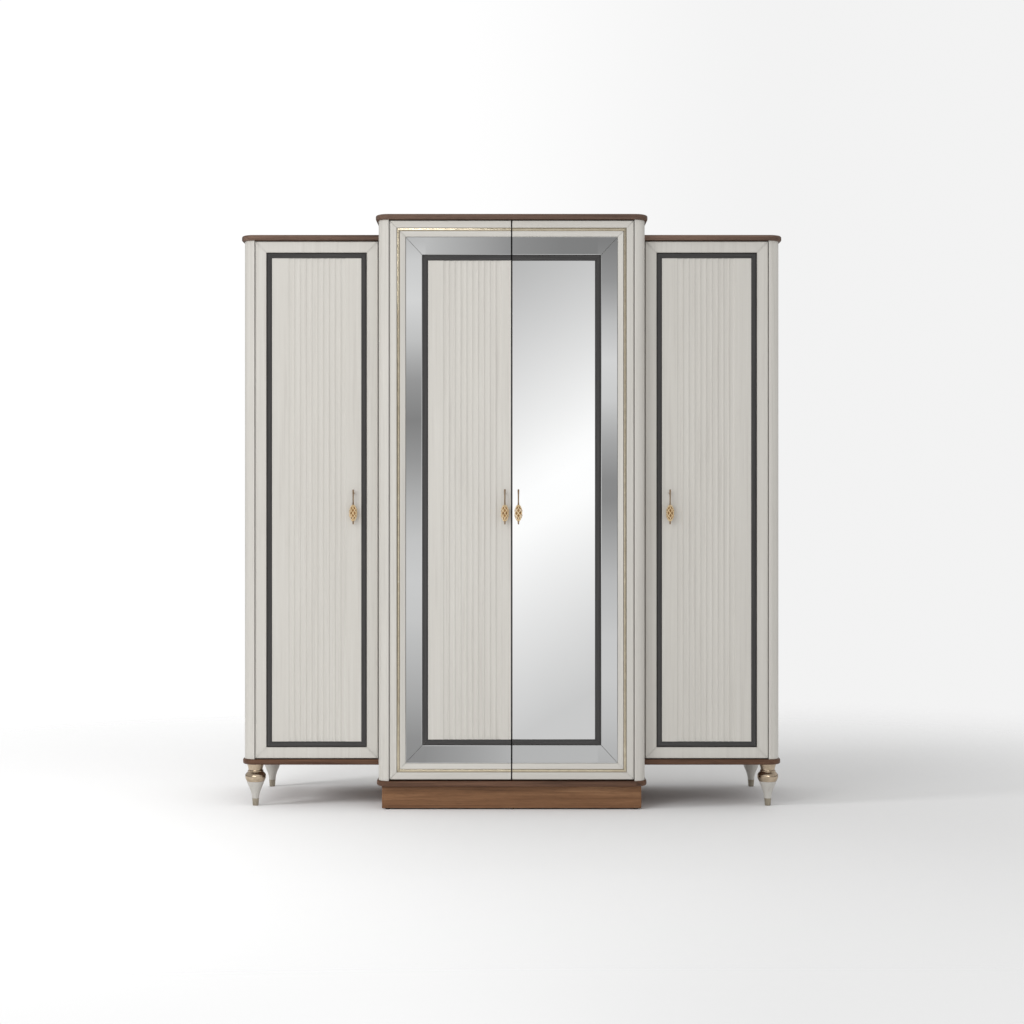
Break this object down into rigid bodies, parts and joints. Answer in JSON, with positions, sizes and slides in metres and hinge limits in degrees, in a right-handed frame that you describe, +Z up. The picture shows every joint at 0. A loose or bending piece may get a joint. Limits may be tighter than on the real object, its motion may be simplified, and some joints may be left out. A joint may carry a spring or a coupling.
{
  "type": "armoire",
  "caption": "Stepped armoire: a tall projecting centre on a plinth between lower wings on turned legs, with fluted and mirrored hinged doors, walnut boards and gold handles.",
  "frame": {"origin": "on the floor, under the centre of the whole armoire's box, handles included", "axes": "+Z up, +X to the right seen from the front, doors face -Y"},
  "size_m": [2.023, 0.655, 2.2],
  "materials": {
    "cream_lacquer": "satin lacquer with a faint upright grain",
    "walnut": "satin varnished walnut",
    "plinth_walnut": "satin varnished walnut, grain along the plinth",
    "gold": "polished gold-coloured metal",
    "smoked_mirror": "lightly smoked mirror glass",
    "clear_mirror": "silvered mirror glass",
    "charcoal_lacquer": "satin charcoal lacquer",
    "inner_board": "matt melamine-faced board",
    "fitting_steel": "nickel-plated steel",
    "glide_plastic": "moulded plastic"
  },
  "bodies": {
    "carcass": {"centre_top_board": "walnut", "centre_base_board": "walnut", "centre_side_left": "cream_lacquer", "centre_side_right": "cream_lacquer", "centre_post_left": "cream_lacquer", "centre_post_right": "cream_lacquer", "centre_back_panel": "inner_board", "plinth_front": "plinth_walnut", "plinth_back": "plinth_walnut", "plinth_ends": "plinth_walnut", "plinth_glides": "glide_plastic", "wing_left_top_board": "walnut", "wing_left_base_board": "walnut", "wing_left_side": "cream_lacquer", "wing_left_post": "cream_lacquer", "wing_left_back_panel": "inner_board", "wing_right_top_board": "walnut", "wing_right_base_board": "walnut", "wing_right_side": "cream_lacquer", "wing_right_post": "cream_lacquer", "wing_right_back_panel": "inner_board", "leg_vases": "cream_lacquer", "leg_collars": "gold", "leg_ferrules": "gold", "hat_shelves": "inner_board", "wing_left_shelves": "inner_board", "shelf_brackets": "fitting_steel", "hanging_rails": "fitting_steel", "rail_sockets": "fitting_steel", "joining_brackets": "fitting_steel", "hinge_arms": "fitting_steel"},
    "door_centre_left": {"door_centre_left_slab": "cream_lacquer", "door_centre_left_frame": "cream_lacquer", "door_centre_left_bead": "gold", "door_centre_left_strips": "smoked_mirror", "door_centre_left_moulding": "charcoal_lacquer", "door_centre_left_fluted_panel": "cream_lacquer", "door_centre_left_handle": "gold", "door_centre_left_cups": "fitting_steel"},
    "door_centre_right": {"door_centre_right_slab": "cream_lacquer", "door_centre_right_frame": "cream_lacquer", "door_centre_right_bead": "gold", "door_centre_right_strips": "smoked_mirror", "door_centre_right_moulding": "charcoal_lacquer", "door_centre_right_mirror": "clear_mirror", "door_centre_right_handle": "gold", "door_centre_right_cups": "fitting_steel"},
    "door_wing_left": {"door_wing_left_slab": "cream_lacquer", "door_wing_left_frame": "cream_lacquer", "door_wing_left_moulding": "charcoal_lacquer", "door_wing_left_fluted_panel": "cream_lacquer", "door_wing_left_handle": "gold", "door_wing_left_cups": "fitting_steel"},
    "door_wing_right": {"door_wing_right_slab": "cream_lacquer", "door_wing_right_frame": "cream_lacquer", "door_wing_right_moulding": "charcoal_lacquer", "door_wing_right_fluted_panel": "cream_lacquer", "door_wing_right_handle": "gold", "door_wing_right_cups": "fitting_steel"}
  },
  "joints": [
    {"name": "door_centre_left_hinge", "type": "hinge", "parent": "carcass", "child": "door_centre_left", "pos_m": [-0.452, -0.2975, 1.145], "axis": [0, 0, -1], "range_deg": [0, 110]},
    {"name": "door_centre_right_hinge", "type": "hinge", "parent": "carcass", "child": "door_centre_right", "pos_m": [0.452, -0.2975, 1.145], "axis": [0, 0, 1], "range_deg": [0, 110]},
    {"name": "door_wing_left_hinge", "type": "hinge", "parent": "carcass", "child": "door_wing_left", "pos_m": [-0.958, -0.2225, 1.145], "axis": [0, 0, -1], "range_deg": [0, 110]},
    {"name": "door_wing_right_hinge", "type": "hinge", "parent": "carcass", "child": "door_wing_right", "pos_m": [0.958, -0.2225, 1.145], "axis": [0, 0, 1], "range_deg": [0, 110]}
  ]
}
